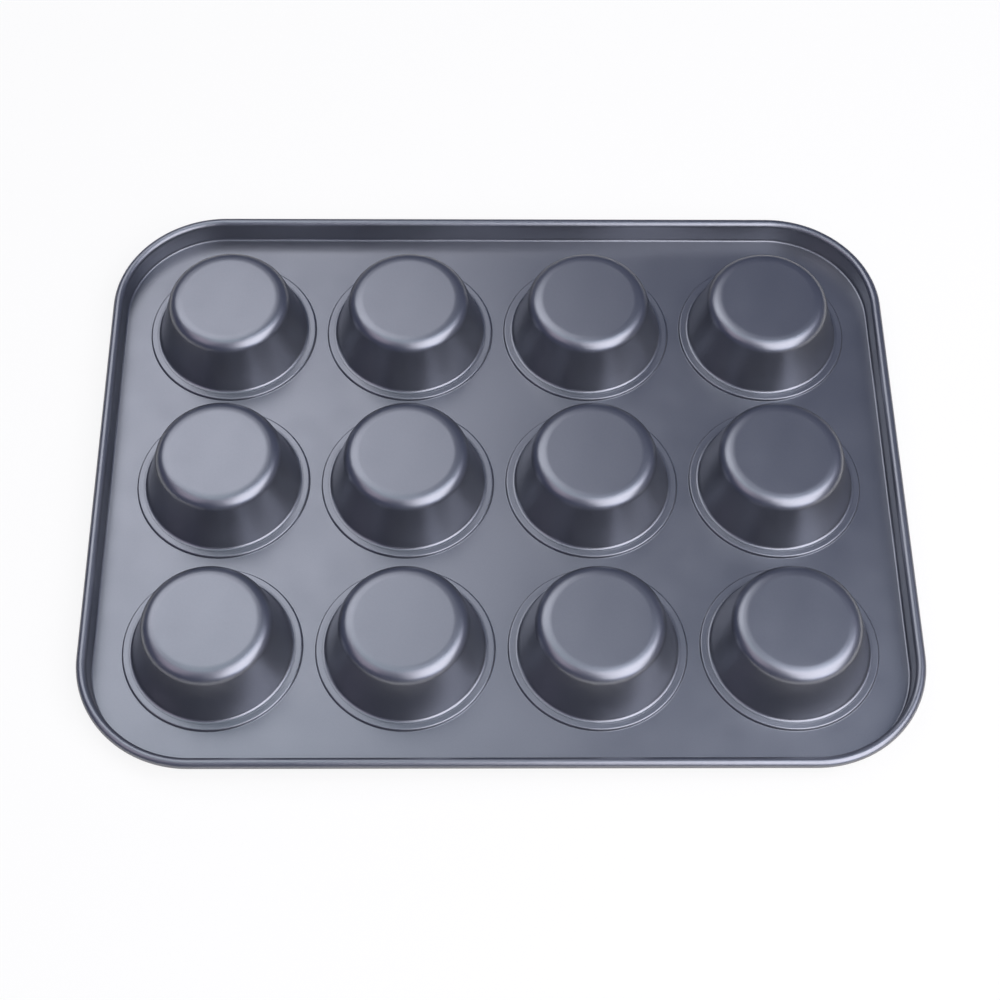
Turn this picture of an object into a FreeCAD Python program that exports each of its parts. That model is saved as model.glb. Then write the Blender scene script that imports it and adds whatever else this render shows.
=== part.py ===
import FreeCAD, Part
import math
import os

# Muffin tin, three rows of four cups, lying face down.
#
# Millimetres, +Z up. The use side of the deck lies on the plane Z = 0, so the closed ends of the
# cups point up. The origin is in the middle of the tin, +X runs along its four columns.
# Row 1 is on the +Y side and column 1 on the -X side.
#
# The deck panel is one pressed sheet: a flat deck, a raised ledge round each of its twelve holes,
# and a border that is turned up into a low skirt and curled outwards round a stiffening wire.
# Each cup is drawn from its own blank. It is dropped through its hole from the use side until its
# flange seats in the recess under the ledge, and a bead swaged at the foot of its wall locks it.

Vector = FreeCAD.Vector
UP = Vector(0, 0, 1)
CENTRE = Vector(0, 0, 0)

# Layout
COLUMNS = 4
ROWS = 3
COLUMN_PITCH = 80.0
ROW_PITCH = 80.0
SHEET = 0.6                      # thickness of every drawn or pressed sheet

# Rim: half sizes and corner radius are those of the curl's centre line
RIM_HALF_X = 171.95
RIM_HALF_Y = 134.95
RIM_CORNER_RADIUS = 46.6
CURL_HEIGHT = 9.7                # centre of the curl above the use side
CURL_RADIUS = 2.2                # outside of the curl
CURL_CROWN_ANGLE = 20.0          # any angle on the curl's outer half, between its two ends
CURL_END_ANGLE = -135.0          # where the sheet's edge stops, seen from the curl's centre
SKIRT_LEAN = 1.0                 # outward lean of the skirt from vertical, in degrees
SKIRT_FOOT_RADIUS = 1.0          # bend between deck and skirt, on the cup side
WIRE_RADIUS = 1.55

# Ledge round each hole
LEDGE_RISE = 1.2
LEDGE_EDGE_RADIUS = 37.1         # cup axis to the ledge's upper edge, before rounding
STEP_FOOT_RADIUS = 37.5          # cup axis to the foot of the step, before rounding
LEDGE_BEND = 0.6
STEP_BEND = 0.2
HOLE_RADIUS = 33.95

# Strips of flat deck that are made with the features they carry
BORDER_STRIP = 7.0               # inward from the curl's centre line, made with the skirt
LEDGE_STRIP = 1.2                # outward from the foot of the step, made with the ledge

# Cup
CUP_HEIGHT = 26.9                # use side of the deck to the outside of the cup's bottom
WALL_SLOPE = 16.7                # wall from vertical, in degrees
WALL_GAUGE_RADIUS = 32.65        # outside of the wall at WALL_GAUGE_HEIGHT
WALL_GAUGE_HEIGHT = 4.0
CROWN_RADIUS = 20.9              # cup axis to where the bottom starts to fall, before rounding
CROWN_SLOPE = 8.0                # fall of the bottom's edge from level, in degrees
CROWN_BEND = 10.0
BOTTOM_BEND = 5.5                # outside bend between wall and bottom
MOUTH_BEND = 1.5
NECK_RADIUS = 33.9               # outside of the cup where it passes through the hole
FLANGE_RADIUS = 35.9
BEAD_FILLET = 1.3                # hollow between the wall and the locking bead's edge
BEAD_RADIUS = 34.7               # cup axis to the locking bead's edge
BEAD_LIP = 0.12                  # height of the bead's edge above the ledge


def on_section(radius, height):
    """Point of a section drawn in the plane Y = 0."""
    return Vector(radius, 0, height)


def polar(centre, radius, degrees):
    """Point of a section, on a circle in the plane Y = 0."""
    angle = math.radians(degrees)
    return centre + Vector(radius * math.cos(angle), 0, radius * math.sin(angle))


def line(start, end):
    return Part.LineSegment(start, end).toShape()


def arc(start, middle, end):
    return Part.Arc(start, middle, end).toShape()


def run(stations):
    """Edges through (point, bend radius) stations, rounding every inner station with its bend."""
    edges = []
    here = stations[0][0]
    for index in range(1, len(stations) - 1):
        corner, bend = stations[index]
        after = stations[index + 1][0]
        if bend == 0:
            edges.append(line(here, corner))
            here = corner
            continue
        back = (stations[index - 1][0] - corner).normalize()
        ahead = (after - corner).normalize()
        half_angle = back.getAngle(ahead) / 2
        reach = bend / math.tan(half_angle)
        first = corner + back * reach
        last = corner + ahead * reach
        bisector = (back + ahead).normalize()
        middle = corner + bisector * (bend / math.sin(half_angle) - bend)
        edges.append(line(here, first))
        edges.append(arc(first, middle, last))
        here = last
    edges.append(line(here, stations[-1][0]))
    return edges


def revolved(edges):
    """Full turn of a closed section about the Z axis."""
    return Part.Face(Part.Wire(edges)).revolve(CENTRE, UP, 360)


def around_rim(face):
    """Sweep a section round the rim. Its radius counts from the axis of a corner's arc."""
    run_x = 2 * (RIM_HALF_X - RIM_CORNER_RADIUS)
    run_y = 2 * (RIM_HALF_Y - RIM_CORNER_RADIUS)
    corner = face.revolve(CENTRE, UP, 90)
    pieces = []
    for quarter in range(4):
        side_length = run_x if quarter % 2 else run_y
        side = face.extrude(Vector(0, side_length, 0))
        side.translate(Vector(0, -side_length, 0))
        for piece in (corner.copy(), side):
            piece.rotate(CENTRE, UP, 90 * quarter)
            sign_x = 1 if quarter in (0, 3) else -1
            sign_y = 1 if quarter in (0, 1) else -1
            piece.translate(Vector(sign_x * run_x / 2, sign_y * run_y / 2, 0))
            pieces.append(piece)
    return pieces[0].multiFuse(pieces[1:]).removeSplitter()


def cup_places():
    """Name and axis of each cup, row by row."""
    places = []
    for row in range(ROWS):
        for column in range(COLUMNS):
            x = (column - (COLUMNS - 1) / 2) * COLUMN_PITCH
            y = ((ROWS - 1) / 2 - row) * ROW_PITCH
            places.append((f"cup_r{row + 1}c{column + 1}", Vector(x, y, 0)))
    return places


def wall_radius(height, depth=0.0):
    """Cup axis to the wall, at a height and a depth below the wall's outside."""
    slope = math.radians(WALL_SLOPE)
    taper = (WALL_GAUGE_HEIGHT - height) * math.tan(slope)
    return WALL_GAUGE_RADIUS + taper - depth / math.cos(slope)


def crown_corner(height, depth=0.0):
    """Where the falling edge of the cup's bottom would meet the wall."""
    fall = math.tan(math.radians(CROWN_SLOPE))
    taper = math.tan(math.radians(WALL_SLOPE))
    radius = (wall_radius(height, depth) - CROWN_RADIUS * fall * taper) / (1 - fall * taper)
    return on_section(radius, height - (radius - CROWN_RADIUS) * fall)


def rim_section(cut):
    """Closed section of skirt and curl, cut off at a distance from the corner's axis."""
    lean = math.radians(SKIRT_LEAN)
    centre = on_section(RIM_CORNER_RADIUS, CURL_HEIGHT)
    inner_radius = CURL_RADIUS - SHEET
    tangent_angle = 180 - SKIRT_LEAN

    def foot(curl_radius, height):
        drop = CURL_HEIGHT - height
        return RIM_CORNER_RADIUS - curl_radius / math.cos(lean) - drop * math.tan(lean)

    upper = run([
        (on_section(cut, 0), 0),
        (on_section(cut, SHEET), 0),
        (on_section(foot(CURL_RADIUS, SHEET), SHEET), SKIRT_FOOT_RADIUS),
        (polar(centre, CURL_RADIUS, tangent_angle), 0),
    ])
    curl_outside = arc(
        polar(centre, CURL_RADIUS, tangent_angle),
        polar(centre, CURL_RADIUS, CURL_CROWN_ANGLE),
        polar(centre, CURL_RADIUS, CURL_END_ANGLE),
    )
    sheet_edge = line(
        polar(centre, CURL_RADIUS, CURL_END_ANGLE),
        polar(centre, inner_radius, CURL_END_ANGLE),
    )
    curl_inside = arc(
        polar(centre, inner_radius, CURL_END_ANGLE),
        polar(centre, inner_radius, CURL_CROWN_ANGLE),
        polar(centre, inner_radius, tangent_angle),
    )
    lower = run([
        (polar(centre, inner_radius, tangent_angle), 0),
        (on_section(foot(inner_radius, 0), 0), SKIRT_FOOT_RADIUS + SHEET),
        (on_section(cut, 0), 0),
    ])
    return Part.Face(Part.Wire(upper + [curl_outside, sheet_edge, curl_inside] + lower))


def ledge_ring(outer_radius):
    """Raised ledge round a hole, with the step down to the deck."""
    step_run = STEP_FOOT_RADIUS - LEDGE_EDGE_RADIUS
    step_length = math.hypot(step_run, LEDGE_RISE)
    # The sheet's lower face is one sheet thickness away from the upper one, square to the step.
    lower_shift = (SHEET * step_length - SHEET * step_run) / LEDGE_RISE
    deck_top = SHEET
    ledge_top = SHEET + LEDGE_RISE
    return revolved(run([
        (on_section(outer_radius, 0), 0),
        (on_section(outer_radius, deck_top), 0),
        (on_section(STEP_FOOT_RADIUS, deck_top), STEP_BEND),
        (on_section(LEDGE_EDGE_RADIUS, ledge_top), LEDGE_BEND),
        (on_section(HOLE_RADIUS, ledge_top), 0),
        (on_section(HOLE_RADIUS, LEDGE_RISE), 0),
        (on_section(LEDGE_EDGE_RADIUS - lower_shift, LEDGE_RISE), STEP_BEND),
        (on_section(STEP_FOOT_RADIUS - lower_shift, 0), STEP_BEND),
        (on_section(outer_radius, 0), 0),
    ]))


def deck_panel():
    rim_cut = RIM_CORNER_RADIUS - BORDER_STRIP
    ring_radius = STEP_FOOT_RADIUS + LEDGE_STRIP
    half_x = RIM_HALF_X - RIM_CORNER_RADIUS
    half_y = RIM_HALF_Y - RIM_CORNER_RADIUS
    long_slab = Part.makeBox(2 * (half_x + rim_cut), 2 * half_y, SHEET)
    long_slab.translate(Vector(-half_x - rim_cut, -half_y, 0))
    cross_slab = Part.makeBox(2 * half_x, 2 * (half_y + rim_cut), SHEET)
    cross_slab.translate(Vector(-half_x, -half_y - rim_cut, 0))
    discs = []
    for sign_x in (-1, 1):
        for sign_y in (-1, 1):
            corner = Vector(sign_x * half_x, sign_y * half_y, 0)
            discs.append(Part.makeCylinder(rim_cut, SHEET, corner))
    plate = long_slab.multiFuse([cross_slab] + discs).removeSplitter()
    rings = []
    for _, place in cup_places():
        plate = plate.cut(Part.makeCylinder(ring_radius, SHEET, place))
        ring = ledge_ring(ring_radius)
        ring.translate(place)
        rings.append(ring)
    rim = around_rim(rim_section(rim_cut))
    return plate.multiFuse(rings + [rim]).removeSplitter()


def cup():
    """One drawn cup with its flange and locking bead, on the Z axis."""
    ledge_top = SHEET + LEDGE_RISE
    lip_top = ledge_top + BEAD_LIP
    flange_top = LEDGE_RISE
    flange_face = flange_top - SHEET
    inside_height = CUP_HEIGHT - SHEET
    return revolved(run([
        (on_section(0, inside_height), 0),
        (on_section(0, CUP_HEIGHT), 0),
        (on_section(CROWN_RADIUS, CUP_HEIGHT), CROWN_BEND),
        (crown_corner(CUP_HEIGHT), BOTTOM_BEND),
        (on_section(wall_radius(lip_top), lip_top), BEAD_FILLET),
        (on_section(BEAD_RADIUS, lip_top), 0),
        (on_section(BEAD_RADIUS, ledge_top), 0),
        (on_section(NECK_RADIUS, ledge_top), 0),
        (on_section(NECK_RADIUS, flange_top), 0),
        (on_section(FLANGE_RADIUS, flange_top), 0),
        (on_section(FLANGE_RADIUS, flange_face), 0),
        (on_section(wall_radius(flange_face, SHEET), flange_face), MOUTH_BEND),
        (crown_corner(inside_height, SHEET), BOTTOM_BEND - SHEET),
        (on_section(CROWN_RADIUS, inside_height), CROWN_BEND - SHEET),
        (on_section(0, inside_height), 0),
    ]))


def rim_wire():
    centre = on_section(RIM_CORNER_RADIUS, CURL_HEIGHT)
    circle = Part.Circle(centre, Vector(0, 1, 0), WIRE_RADIUS).toShape()
    return around_rim(Part.Face(Part.Wire([circle])))


def main():
    nodes = {"deck_panel": deck_panel(), "rim_wire": rim_wire()}
    for name, place in cup_places():
        piece = cup()
        piece.translate(place)
        nodes[name] = piece
    os.makedirs("parts", exist_ok=True)
    for name, shape in nodes.items():
        shape.exportStep(f"parts/{name}.step")
        solids = len(shape.Solids)
        print(f"{name}: {solids} solid(s), valid {shape.isValid()}, {shape.Volume:.1f} mm3")


main()
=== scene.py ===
import math

import bmesh
import bpy
from mathutils import Matrix, Vector


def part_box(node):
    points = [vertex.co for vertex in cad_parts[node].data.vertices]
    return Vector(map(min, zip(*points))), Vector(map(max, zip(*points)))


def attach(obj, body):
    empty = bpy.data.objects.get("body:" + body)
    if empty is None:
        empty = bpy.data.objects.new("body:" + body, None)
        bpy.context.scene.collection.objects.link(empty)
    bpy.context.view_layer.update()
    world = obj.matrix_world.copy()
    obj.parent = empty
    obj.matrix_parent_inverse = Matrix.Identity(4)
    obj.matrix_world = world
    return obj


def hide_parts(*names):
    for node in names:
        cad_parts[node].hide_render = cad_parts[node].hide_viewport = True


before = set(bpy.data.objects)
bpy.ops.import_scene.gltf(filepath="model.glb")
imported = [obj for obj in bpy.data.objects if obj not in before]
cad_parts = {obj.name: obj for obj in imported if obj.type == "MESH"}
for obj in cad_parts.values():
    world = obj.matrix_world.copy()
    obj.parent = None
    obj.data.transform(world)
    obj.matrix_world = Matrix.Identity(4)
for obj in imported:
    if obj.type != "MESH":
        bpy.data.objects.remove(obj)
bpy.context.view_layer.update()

# Muffin tin, lying face down. Metres, in the row frame: +Z up, the deck's use side on Z = 0.

MM = 0.001

# Pressed sheet
SHEET = 0.6 * MM
EDGE_ROUND = 0.08 * MM           # softened edge of cut sheet

# Rim: skirt and curl, with the wire inside the curl
CURL_RADIUS = 2.2 * MM
RIM_CORNER_RADIUS = 46.6 * MM
CURL_END_ANGLE = -135.0          # degrees, seen from the curl's centre
SKIRT_LEAN = 1.0                 # degrees from vertical
SKIRT_FOOT_RADIUS = 1.0 * MM
BORDER_STRIP = 7.0 * MM          # strip of flat deck inward from the curl's centre line
WIRE_RADIUS = 1.55 * MM

# Ledge round each hole, in distances from the cup's axis
LEDGE_RISE = 1.2 * MM
LEDGE_EDGE_RADIUS = 37.1 * MM
STEP_FOOT_RADIUS = 37.5 * MM
LEDGE_BEND = 0.6 * MM
STEP_BEND = 0.2 * MM
LEDGE_STRIP = 1.2 * MM
HOLE_RADIUS = 33.95 * MM

# Cup
WALL_SLOPE = 16.7                # degrees from vertical
WALL_GAUGE_RADIUS = 32.65 * MM   # outside of the wall at WALL_GAUGE_HEIGHT
WALL_GAUGE_HEIGHT = 4.0 * MM
CROWN_RADIUS = 20.9 * MM         # cup axis to where the bottom starts to fall, before rounding
CROWN_SLOPE = 8.0                # degrees from level
CROWN_BEND = 10.0 * MM
BOTTOM_BEND = 5.5 * MM
MOUTH_BEND = 1.5 * MM
NECK_RADIUS = 33.9 * MM
FLANGE_RADIUS = 35.9 * MM
BEAD_FILLET = 1.3 * MM
BEAD_RADIUS = 34.7 * MM
BEAD_LIP = 0.12 * MM

# Mesh density
CUP_STEPS = 120                  # round a cup
WIRE_STEPS = 16                  # round the wire
GRID_STEP = 2.6 * MM             # along the rim and along the borders between cups
CORNER_STEPS = 36                # round a corner of the rim
FLAT_ROWS = 5                    # across the deck between a cup and its neighbours
ARC_STEP = 10.0                  # degrees, along a bend
FLAT_STEP = 4.0 * MM             # along the straight parts of a cup's section
GUARD = 0.3 * MM                 # narrow face beside each bend, which keeps the flats flat
MERGE = 0.001 * MM
PLACE_DIGITS = 6                 # decimals of a metre that tell two rows or columns apart
SHARP_ANGLE = 35.0               # degrees

# Coating and wire. A tone is red, green, blue and alpha.
COATING_DARK = (0.218, 0.231, 0.264, 1)
COATING_LIGHT = (0.238, 0.250, 0.281, 1)
COATING_SPECK = (0.160, 0.172, 0.205, 1)
COATING_METALLIC = 0.87
WIRE_BRIGHT = (0.56, 0.56, 0.57, 1)
WIRE_TARNISHED = (0.33, 0.29, 0.26, 1)

# Studio
SHELL_RADIUS = 12.0
SHELL_HEIGHT = 12.0
SHELL_BEND = 4.0                 # between wall and floor, and between wall and ceiling
SHELL_STEPS = 96                 # round the shell
SEEN_LEVEL = -0.25 * MM          # of the floor that the camera sees
BASE_LEVEL = -0.30 * MM          # of the floor that lights the tin
SEEN_TONE = (0.10, 0.10, 0.10)
SEEN_GLOW = 0.88
BASE_TONE = (0.84, 0.81, 0.70)
WORLD_TONE = (0.05, 0.07, 0.16, 1)

# Camera
CAMERA_PLACE = (-0.01783, -0.43086, 0.72786)
CAMERA_YAW = -1.599              # degrees
CAMERA_PITCH = 29.100            # from straight down
CAMERA_ROLL = 1.392
CAMERA_LENS = 69.72
CAMERA_SENSOR = 36.0
CAMERA_SHIFT = (0.0150, 0.0357)  # of the sensor's width
CAMERA_CLIP = (0.01, 100.0)      # nearest and farthest distance


# ---------------------------------------------------------------- sections

def polar(centre, radius, degrees):
    angle = math.radians(degrees)
    return (centre[0] + radius * math.cos(angle), centre[1] + radius * math.sin(angle))


def arc_points(centre, radius, start, end):
    """Points along an arc of a section, both ends included. Angles in degrees."""
    steps = max(2, math.ceil(abs(end - start) / ARC_STEP))
    return [polar(centre, radius, start + (end - start) * i / steps) for i in range(steps + 1)]


def between(start, end, distance):
    """Point at a distance from start on the way to end."""
    share = distance / math.dist(start, end)
    return (start[0] + (end[0] - start[0]) * share, start[1] + (end[1] - start[1]) * share)


def bend_points(before, corner, after, bend):
    """Guard, arc and guard that round one corner of a section."""
    to_before = Vector(before) - Vector(corner)
    to_after = Vector(after) - Vector(corner)
    half = to_before.angle(to_after) / 2
    reach = bend / math.tan(half)
    bisector = (to_before.normalized() + to_after.normalized()).normalized()
    centre = Vector(corner) + bisector * (bend / math.sin(half))
    first = Vector(between(corner, before, reach))
    last = Vector(between(corner, after, reach))
    start = math.atan2(first.y - centre.y, first.x - centre.x)
    turn = math.atan2(last.y - centre.y, last.x - centre.x) - start
    turn = (turn + math.pi) % (2 * math.pi) - math.pi
    points = arc_points(tuple(centre), bend, math.degrees(start), math.degrees(start + turn))
    room_before = to_before.length - reach
    room_after = to_after.length - reach
    guard_before = between(corner, before, reach + min(GUARD, room_before / 3))
    guard_after = between(corner, after, reach + min(GUARD, room_after / 3))
    return [guard_before] + points + [guard_after]


def rounded(stations):
    """Section through (radius, height, bend) stations. A bend of 0 stays a sharp corner."""
    points = [stations[0][:2]]
    for index in range(1, len(stations) - 1):
        corner = stations[index][:2]
        bend = stations[index][2]
        if bend:
            before = stations[index - 1][:2]
            after = stations[index + 1][:2]
            points += bend_points(before, corner, after, bend)
        else:
            points.append(corner)
    points.append(stations[-1][:2])
    return points


def wall_radius(height, depth=0.0):
    """Cup axis to the wall, at a height and a depth below the wall's outside."""
    slope = math.radians(WALL_SLOPE)
    taper = (WALL_GAUGE_HEIGHT - height) * math.tan(slope)
    return WALL_GAUGE_RADIUS + taper - depth / math.cos(slope)


def crown_corner(height, depth=0.0):
    """Where the falling edge of the bottom would meet the wall."""
    fall = math.tan(math.radians(CROWN_SLOPE))
    taper = math.tan(math.radians(WALL_SLOPE))
    radius = (wall_radius(height, depth) - CROWN_RADIUS * fall * taper) / (1 - fall * taper)
    return radius, height - (radius - CROWN_RADIUS) * fall


def divided(section):
    """The same section with its long straight parts divided."""
    points = section[:1]
    for start, end in zip(section, section[1:]):
        steps = max(1, round(math.dist(start, end) / FLAT_STEP))
        points += [between(start, end, math.dist(start, end) * i / steps) for i in range(1, steps)]
        points.append(end)
    return points


def cup_section(cup_height):
    """From the middle of the cup's bottom, down the outside, round the flange and up the inside."""
    ledge_top = SHEET + LEDGE_RISE
    lip_top = ledge_top + BEAD_LIP
    flange_top = LEDGE_RISE
    flange_face = flange_top - SHEET
    inside_height = cup_height - SHEET
    return divided(rounded([
        (0, cup_height, 0),
        (CROWN_RADIUS, cup_height, CROWN_BEND),
        (*crown_corner(cup_height), BOTTOM_BEND),
        (wall_radius(lip_top), lip_top, BEAD_FILLET),
        (BEAD_RADIUS, lip_top, EDGE_ROUND),
        (BEAD_RADIUS, ledge_top, 0),
        (NECK_RADIUS, ledge_top, 0),
        (NECK_RADIUS, flange_top, 0),
        (FLANGE_RADIUS, flange_top, 0),
        (FLANGE_RADIUS, flange_face, EDGE_ROUND),
        (wall_radius(flange_face, SHEET), flange_face, MOUTH_BEND),
        (*crown_corner(inside_height, SHEET), BOTTOM_BEND - SHEET),
        (CROWN_RADIUS, inside_height, CROWN_BEND - SHEET),
        (0, inside_height, 0),
    ]))


def ledge_section(outer_radius):
    """From the deck's cup side over the ledge to the hole, and back along the use side."""
    step_run = STEP_FOOT_RADIUS - LEDGE_EDGE_RADIUS
    step_length = math.hypot(step_run, LEDGE_RISE)
    lower_shift = SHEET * (step_length - step_run) / LEDGE_RISE
    ledge_top = SHEET + LEDGE_RISE
    return rounded([
        (outer_radius, SHEET, 0),
        (STEP_FOOT_RADIUS, SHEET, STEP_BEND),
        (LEDGE_EDGE_RADIUS, ledge_top, LEDGE_BEND),
        (HOLE_RADIUS, ledge_top, EDGE_ROUND),
        (HOLE_RADIUS, LEDGE_RISE, EDGE_ROUND),
        (LEDGE_EDGE_RADIUS - lower_shift, LEDGE_RISE, STEP_BEND),
        (STEP_FOOT_RADIUS - lower_shift, 0, STEP_BEND),
        (outer_radius, 0, 0),
    ])


def rim_section(cut, curl_height):
    """From the deck's cup side up the skirt, round the curl and back down to the use side."""
    lean = math.radians(SKIRT_LEAN)
    centre = (RIM_CORNER_RADIUS, curl_height)
    inner_radius = CURL_RADIUS - SHEET
    tangent_angle = 180 - SKIRT_LEAN

    def foot(curl_radius, height):
        drop = curl_height - height
        return RIM_CORNER_RADIUS - curl_radius / math.cos(lean) - drop * math.tan(lean)

    upper = rounded([
        (cut, SHEET, 0),
        (foot(CURL_RADIUS, SHEET), SHEET, SKIRT_FOOT_RADIUS),
        (*polar(centre, CURL_RADIUS, tangent_angle), 0),
    ])
    outside = arc_points(centre, CURL_RADIUS, tangent_angle, CURL_END_ANGLE)
    inside = arc_points(centre, inner_radius, CURL_END_ANGLE, tangent_angle)
    lower = rounded([
        (*polar(centre, inner_radius, tangent_angle), 0),
        (foot(inner_radius, 0), 0, SKIRT_FOOT_RADIUS + SHEET),
        (cut, 0, 0),
    ])
    return upper[:-1] + outside + inside + lower[1:]


# ---------------------------------------------------------------- meshes

def new_object(name, mesh, place=(0, 0, 0)):
    piece = bpy.data.objects.new(name, mesh)
    piece.location = place
    bpy.context.scene.collection.objects.link(piece)
    return piece


def clean_mesh(name, verts, faces):
    """Mesh with doubled vertices merged, faces turned outward and bends shaded smooth."""
    mesh = bpy.data.meshes.new(name)
    mesh.from_pydata(verts, [], faces)
    work = bmesh.new()
    work.from_mesh(mesh)
    bmesh.ops.remove_doubles(work, verts=work.verts, dist=MERGE)
    bmesh.ops.recalc_face_normals(work, faces=work.faces)
    work.to_mesh(mesh)
    work.free()
    mesh.shade_smooth()
    mesh.set_sharp_from_angle(angle=math.radians(SHARP_ANGLE))
    return mesh


def add_strips(verts, faces, columns):
    """Quads between neighbouring columns of points. The last column joins the first."""
    rows = len(columns[0])
    start = len(verts)
    for column in columns:
        verts.extend(column)
    for index in range(len(columns)):
        here = start + index * rows
        there = start + (index + 1) % len(columns) * rows
        for row in range(rows - 1):
            faces.append((here + row, there + row, there + row + 1, here + row + 1))


def lathe(name, section, steps):
    """Surface of revolution about Z. The section starts and ends on the axis."""
    verts = [(0, 0, section[0][1]), (0, 0, section[-1][1])]
    faces = []
    ring_points = section[1:-1]
    columns = []
    for step in range(steps):
        angle = 2 * math.pi * step / steps
        columns.append([(r * math.cos(angle), r * math.sin(angle), z) for r, z in ring_points])
    add_strips(verts, faces, columns)
    rows = len(ring_points)
    for step in range(steps):
        here = 2 + step * rows
        there = 2 + (step + 1) % steps * rows
        faces.append((0, there, here))
        faces.append((1, here + rows - 1, there + rows - 1))
    return clean_mesh(name, verts, faces)


def split(start, end):
    """Numbers from start to end, evenly spaced by about GRID_STEP."""
    steps = max(1, round(abs(end - start) / GRID_STEP))
    return [start + (end - start) * i / steps for i in range(steps + 1)]


def split_all(stops):
    """The same, through every stop."""
    numbers = stops[:1]
    for start, end in zip(stops, stops[1:]):
        numbers += split(start, end)[1:]
    return numbers


def rim_walk(half_x, half_y, borders_x, borders_y):
    """(base, outward direction) all round the rim. A corner's base is the axis of its arc."""
    along_x = split_all([-half_x] + borders_x + [half_x])
    along_y = split_all([-half_y] + borders_y + [half_y])
    walk = []
    sides = [
        ([(half_x, y) for y in along_y], 0),
        ([(x, half_y) for x in reversed(along_x)], 90),
        ([(-half_x, y) for y in reversed(along_y)], 180),
        ([(x, -half_y) for x in along_x], 270),
    ]
    for bases, heading in sides:
        angle = math.radians(heading)
        outward = (math.cos(angle), math.sin(angle))
        walk += [(base, outward) for base in bases]
        for step in range(1, CORNER_STEPS):
            angle = math.radians(heading + 90 * step / CORNER_STEPS)
            walk.append((bases[-1], (math.cos(angle), math.sin(angle))))
    return walk


def sweep_rim(verts, faces, walk, section):
    """Carry a section of (distance outward, height) points all round the rim."""
    columns = []
    for base, out in walk:
        columns.append([(base[0] + r * out[0], base[1] + r * out[1], z) for r, z in section])
    add_strips(verts, faces, columns)


def border_net(walk, cut, borders_x, borders_y, reach_x, reach_y):
    """Points along the deck's outer edge and along the borders between the cups' cells."""
    net = [(base[0] + cut * out[0], base[1] + cut * out[1]) for base, out in walk]
    along_x = split_all([-reach_x] + borders_x + [reach_x])
    along_y = split_all([-reach_y] + borders_y + [reach_y])
    for border in borders_x:
        net += [(border, y) for y in along_y]
    for border in borders_y:
        net += [(x, border) for x in along_x]
    return net


def cell_loop(net, centre, low, high):
    """The net's points round one cell, in order of their angle about the cup's axis."""
    found = {}
    for x, y in net:
        inside_x = low[0] - MERGE < x < high[0] + MERGE
        inside_y = low[1] - MERGE < y < high[1] + MERGE
        if inside_x and inside_y:
            key = (round(x / MERGE), round(y / MERGE))
            found[key] = (x, y)
    return sorted(found.values(), key=lambda p: math.atan2(p[1] - centre[1], p[0] - centre[0]))


def cell_column(edge, centre, section):
    """One column of a cell: in from its edge, over the ledge to the hole, and back below."""
    angle = math.atan2(edge[1] - centre[1], edge[0] - centre[0])
    along_x = math.cos(angle)
    along_y = math.sin(angle)
    distance = math.dist(edge, centre)
    ring_radius = section[0][0]
    shares = [row / FLAT_ROWS for row in range(FLAT_ROWS)]
    flat = [distance + (ring_radius - distance) * share for share in shares]
    radii = [(r, SHEET) for r in flat] + section + [(r, 0.0) for r in reversed(flat)]
    return [(centre[0] + r * along_x, centre[1] + r * along_y, z) for r, z in radii]


def distinct(places):
    """Sorted places of the cups' rows or columns, each once."""
    return sorted({round(place, PLACE_DIGITS) for place in places})


def halfway(places):
    """The middles between neighbours."""
    return [(a + b) / 2 for a, b in zip(places, places[1:])]


def panel_mesh(centres, half_x, half_y, curl_height):
    """Deck as one cell for each cup, with the rim's section swept round them."""
    columns = distinct(x for x, y in centres)
    rows = distinct(y for x, y in centres)
    borders_x = halfway(columns)
    borders_y = halfway(rows)
    cut = RIM_CORNER_RADIUS - BORDER_STRIP
    walk = rim_walk(half_x, half_y, borders_x, borders_y)
    net = border_net(walk, cut, borders_x, borders_y, half_x + cut, half_y + cut)
    ledge = ledge_section(STEP_FOOT_RADIUS + LEDGE_STRIP)
    limits_x = [-half_x - cut] + borders_x + [half_x + cut]
    limits_y = [-half_y - cut] + borders_y + [half_y + cut]
    verts = []
    faces = []
    for ix, x in enumerate(columns):
        for iy, y in enumerate(rows):
            low = (limits_x[ix], limits_y[iy])
            high = (limits_x[ix + 1], limits_y[iy + 1])
            loop = cell_loop(net, (x, y), low, high)
            add_strips(verts, faces, [cell_column(edge, (x, y), ledge) for edge in loop])
    sweep_rim(verts, faces, walk, rim_section(cut, curl_height))
    return clean_mesh("panel", verts, faces)


def wire_mesh(half_x, half_y, curl_height):
    """Closed loop of round wire along the middle of the curl."""
    walk = rim_walk(half_x, half_y, [], [])
    centre = (RIM_CORNER_RADIUS, curl_height)
    angles = [360 * step / WIRE_STEPS for step in range(WIRE_STEPS + 1)]
    verts = []
    faces = []
    sweep_rim(verts, faces, walk, [polar(centre, WIRE_RADIUS, angle) for angle in angles])
    return clean_mesh("wire", verts, faces)


# ---------------------------------------------------------------- materials

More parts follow.
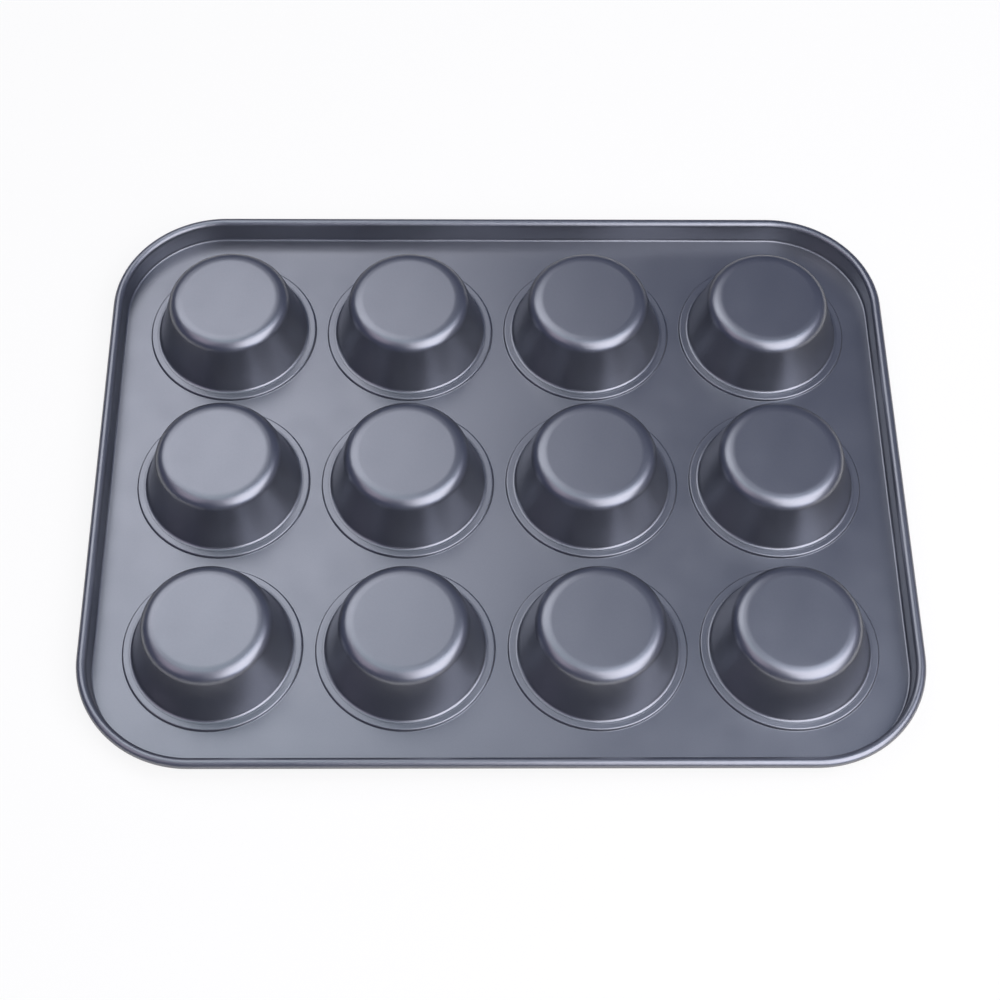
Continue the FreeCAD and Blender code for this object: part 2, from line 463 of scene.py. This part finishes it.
class Nodes:
    """Short forms for building a material's nodes."""

    def __init__(self, name):
        self.material = bpy.data.materials.new(name)
        self.material.use_nodes = True
        self.tree = self.material.node_tree
        self.shader = self.tree.nodes["Principled BSDF"]
        self.coords = self.tree.nodes.new("ShaderNodeTexCoord").outputs["Object"]

    def put(self, socket, value):
        """Link a socket to another one, or set its value."""
        if isinstance(value, bpy.types.NodeSocket):
            self.tree.links.new(value, socket)
        else:
            socket.default_value = value

    def shade(self, name, value):
        self.put(self.shader.inputs[name], value)

    def noise(self, scale, detail):
        node = self.tree.nodes.new("ShaderNodeTexNoise")
        self.put(node.inputs["Vector"], self.coords)
        self.put(node.inputs["Scale"], scale)
        self.put(node.inputs["Detail"], detail)
        return node.outputs["Fac"]

    def remap(self, value, low, high, to_low, to_high):
        node = self.tree.nodes.new("ShaderNodeMapRange")
        names = ("Value", "From Min", "From Max", "To Min", "To Max")
        for name, entry in zip(names, (value, low, high, to_low, to_high)):
            self.put(node.inputs[name], entry)
        return node.outputs["Result"]

    def mix(self, factor, a, b):
        node = self.tree.nodes.new("ShaderNodeMix")
        node.data_type = "RGBA"
        self.put(node.inputs["Factor"], factor)
        self.put(node.inputs["A"], a)
        self.put(node.inputs["B"], b)
        return node.outputs["Result"]

    def bump(self, height, distance, normal=None):
        node = self.tree.nodes.new("ShaderNodeBump")
        self.put(node.inputs["Height"], height)
        self.put(node.inputs["Distance"], distance)
        self.put(node.inputs["Strength"], 1.0)
        if normal:
            self.put(node.inputs["Normal"], normal)
        return node.outputs["Normal"]


def coated_steel():
    """Satin blue-grey non-stick coating: slight drift of tone, fine grain and orange peel."""
    nodes = Nodes("coated_steel")
    drift = nodes.noise(scale=16.0, detail=3.0)
    grain = nodes.noise(scale=1500.0, detail=2.0)
    blotch = nodes.noise(scale=60.0, detail=4.0)
    tone = nodes.mix(drift, COATING_DARK, COATING_LIGHT)
    specks = nodes.remap(grain, low=0.3, high=0.7, to_low=0.0, to_high=0.12)
    nodes.shade("Base Color", nodes.mix(specks, tone, COATING_SPECK))
    nodes.shade("Metallic", COATING_METALLIC)
    nodes.shade("Roughness", nodes.remap(blotch, low=0.3, high=0.7, to_low=0.325, to_high=0.365))
    wave = nodes.bump(nodes.noise(scale=15.0, detail=1.0), distance=0.25 * MM)
    peel = nodes.bump(nodes.noise(scale=420.0, detail=2.0), distance=0.004 * MM, normal=wave)
    nodes.shade("Normal", nodes.bump(grain, distance=0.0015 * MM, normal=peel))
    return nodes.material


def steel_wire():
    """Bright drawn wire with fine marks and a little tarnish."""
    nodes = Nodes("steel_wire")
    blotch = nodes.noise(scale=90.0, detail=4.0)
    marks = nodes.noise(scale=900.0, detail=3.0)
    tarnish = nodes.remap(blotch, low=0.4, high=0.75, to_low=0.0, to_high=1.0)
    nodes.shade("Base Color", nodes.mix(tarnish, WIRE_BRIGHT, WIRE_TARNISHED))
    nodes.shade("Metallic", 1.0)
    nodes.shade("Roughness", nodes.remap(tarnish, low=0.0, high=1.0, to_low=0.25, to_high=0.5))
    nodes.shade("Normal", nodes.bump(marks, distance=0.004 * MM))
    return nodes.material


def floor_material(name, tone, glow):
    """Matt paint. The glow is white."""
    nodes = Nodes(name)
    nodes.shade("Base Color", (*tone, 1))
    nodes.shade("Roughness", 1.0)
    nodes.shade("Specular IOR Level", 0.0)
    nodes.shade("Emission Color", (1, 1, 1, 1))
    nodes.shade("Emission Strength", glow)
    return nodes.material


# ---------------------------------------------------------------- studio

def place_above(azimuth, elevation, distance):
    """Place seen from the tin. Azimuth 0 is +Y and 90 is +X."""
    turn = math.radians(azimuth)
    rise = math.radians(elevation)
    level = math.cos(rise)
    return distance * Vector((math.sin(turn) * level, math.cos(turn) * level, math.sin(rise)))


def softbox(name, azimuth, elevation, distance, width, height, roll, radiance):
    """Rectangular lamp that faces the tin."""
    lamp = bpy.data.lights.new(name, "AREA")
    lamp.shape = "RECTANGLE"
    lamp.size = width
    lamp.size_y = height
    strength = max(radiance)
    lamp.color = [value / strength for value in radiance]
    lamp.energy = strength * math.pi * width * height
    holder = bpy.data.objects.new(name, lamp)
    place = place_above(azimuth, elevation, distance)
    towards = -place.normalized()
    right = Vector((0, 0, 1)).cross(towards).normalized()
    up = towards.cross(right)
    turn = math.radians(roll)
    side = right * math.cos(turn) + up * math.sin(turn)
    top = right * math.sin(turn) - up * math.cos(turn)
    facing = Matrix((side, top, -towards)).transposed().to_4x4()
    holder.matrix_world = Matrix.Translation(place) @ facing
    holder.visible_camera = False
    bpy.context.scene.collection.objects.link(holder)


def lights():
    """Each softbox: azimuth, elevation, distance, width, height, roll, radiance (red, green, blue)."""
    softbox("key_right", 133, 48, 1.12, 1.03, 1.29, 30, (3.70, 3.55, 3.60))
    softbox("back_left", -36, 54, 1.64, 1.20, 0.80, 30, (2.25, 2.20, 2.20))
    softbox("strip_right", 68, 72, 3.0, 0.20, 1.55, 0, (6.2, 6.8, 7.5))
    softbox("left_top", -70, 76, 1.5, 0.5, 0.4, 0, (1.05, 1.35, 1.30))
    softbox("right_middle", 85, 45, 1.5, 0.6, 0.5, 0, (0.75, 0.75, 0.95))
    softbox("fill_left", -113, 54, 3.0, 1.40, 2.15, -35, (1.10, 0.90, 0.95))
    softbox("front_right_low", 145, 20, 1.5, 0.8, 0.4, 0, (0.60, 0.70, 1.00))


def studio_world():
    """Dim, cool light from all round."""
    world = bpy.data.worlds.new("studio")
    world.use_nodes = True
    world.node_tree.nodes["Background"].inputs["Color"].default_value = WORLD_TONE
    bpy.context.scene.world = world


def stage_plate(name, half, level):
    """Level square plate."""
    mesh = bpy.data.meshes.new(name)
    corners = [(-half, -half, level), (half, -half, level), (half, half, level), (-half, half, level)]
    mesh.from_pydata(corners, [], [(0, 1, 2, 3)])
    return new_object(name, mesh)


def stage_shell(name, radius, height, bend, level):
    """Round studio shell: level floor, curved foot, wall and ceiling."""
    section = rounded([(0, level, 0), (radius, level, bend), (radius, height, bend), (0, height, 0)])
    return new_object(name, lathe(name, section, SHELL_STEPS))


def floor():
    """White floor. The camera sees a brighter shell than the plate that lights the tin."""
    seen = stage_shell("floor_seen", SHELL_RADIUS, SHELL_HEIGHT, SHELL_BEND, SEEN_LEVEL)
    seen.data.materials.append(floor_material("floor_white", SEEN_TONE, SEEN_GLOW))
    seen.visible_diffuse = False
    seen.visible_glossy = False
    seen.visible_transmission = False
    seen.visible_shadow = False
    base = stage_plate("floor_base", SHELL_RADIUS, BASE_LEVEL)
    base.data.materials.append(floor_material("floor_warm", BASE_TONE, 0.0))
    base.visible_camera = False


def camera():
    lens = bpy.data.cameras.new("camera")
    lens.lens = CAMERA_LENS
    lens.sensor_width = CAMERA_SENSOR
    lens.shift_x, lens.shift_y = CAMERA_SHIFT
    lens.clip_start, lens.clip_end = CAMERA_CLIP
    holder = bpy.data.objects.new("camera", lens)
    yaw = Matrix.Rotation(math.radians(CAMERA_YAW), 4, "Z")
    pitch = Matrix.Rotation(math.radians(CAMERA_PITCH), 4, "X")
    roll = Matrix.Rotation(math.radians(CAMERA_ROLL), 4, "Z")
    holder.matrix_world = Matrix.Translation(CAMERA_PLACE) @ yaw @ pitch @ roll
    bpy.context.scene.collection.objects.link(holder)
    bpy.context.scene.camera = holder


# ---------------------------------------------------------------- the tin

def finish_piece(piece, material, slot, *nodes):
    """Give a piece its material and its body, and hide the CAD nodes it stands for."""
    piece.data.materials.clear()
    piece.data.materials.append(material)
    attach(piece, "root")
    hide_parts(*nodes)


def build():
    """Every piece, placed and sized from the CAD nodes. The cups share one mesh."""
    coating = coated_steel()
    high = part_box("deck_panel")[1]
    half_x = high.x - CURL_RADIUS - RIM_CORNER_RADIUS
    half_y = high.y - CURL_RADIUS - RIM_CORNER_RADIUS
    curl_height = high.z - CURL_RADIUS
    cups = sorted(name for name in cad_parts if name.startswith("cup_"))
    cup_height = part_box(cups[0])[1].z
    cup_mesh = lathe("cup", cup_section(cup_height), CUP_STEPS)
    centres = []
    for name in cups:
        cup_low, cup_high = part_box(name)
        middle = (cup_low + cup_high) / 2
        centres.append((middle.x, middle.y))
        piece = new_object(name.replace("cup", "cup_pressing"), cup_mesh, (middle.x, middle.y, 0))
        finish_piece(piece, coating, "coated_steel", name)
    panel = new_object("panel_pressing", panel_mesh(centres, half_x, half_y, curl_height))
    finish_piece(panel, coating, "coated_steel", "deck_panel")
    wire = new_object("edge_wire", wire_mesh(half_x, half_y, curl_height))
    finish_piece(wire, steel_wire(), "steel_wire", "rim_wire")


build()
floor()
lights()
studio_world()
camera()
bpy.context.scene.view_settings.view_transform = "Standard"
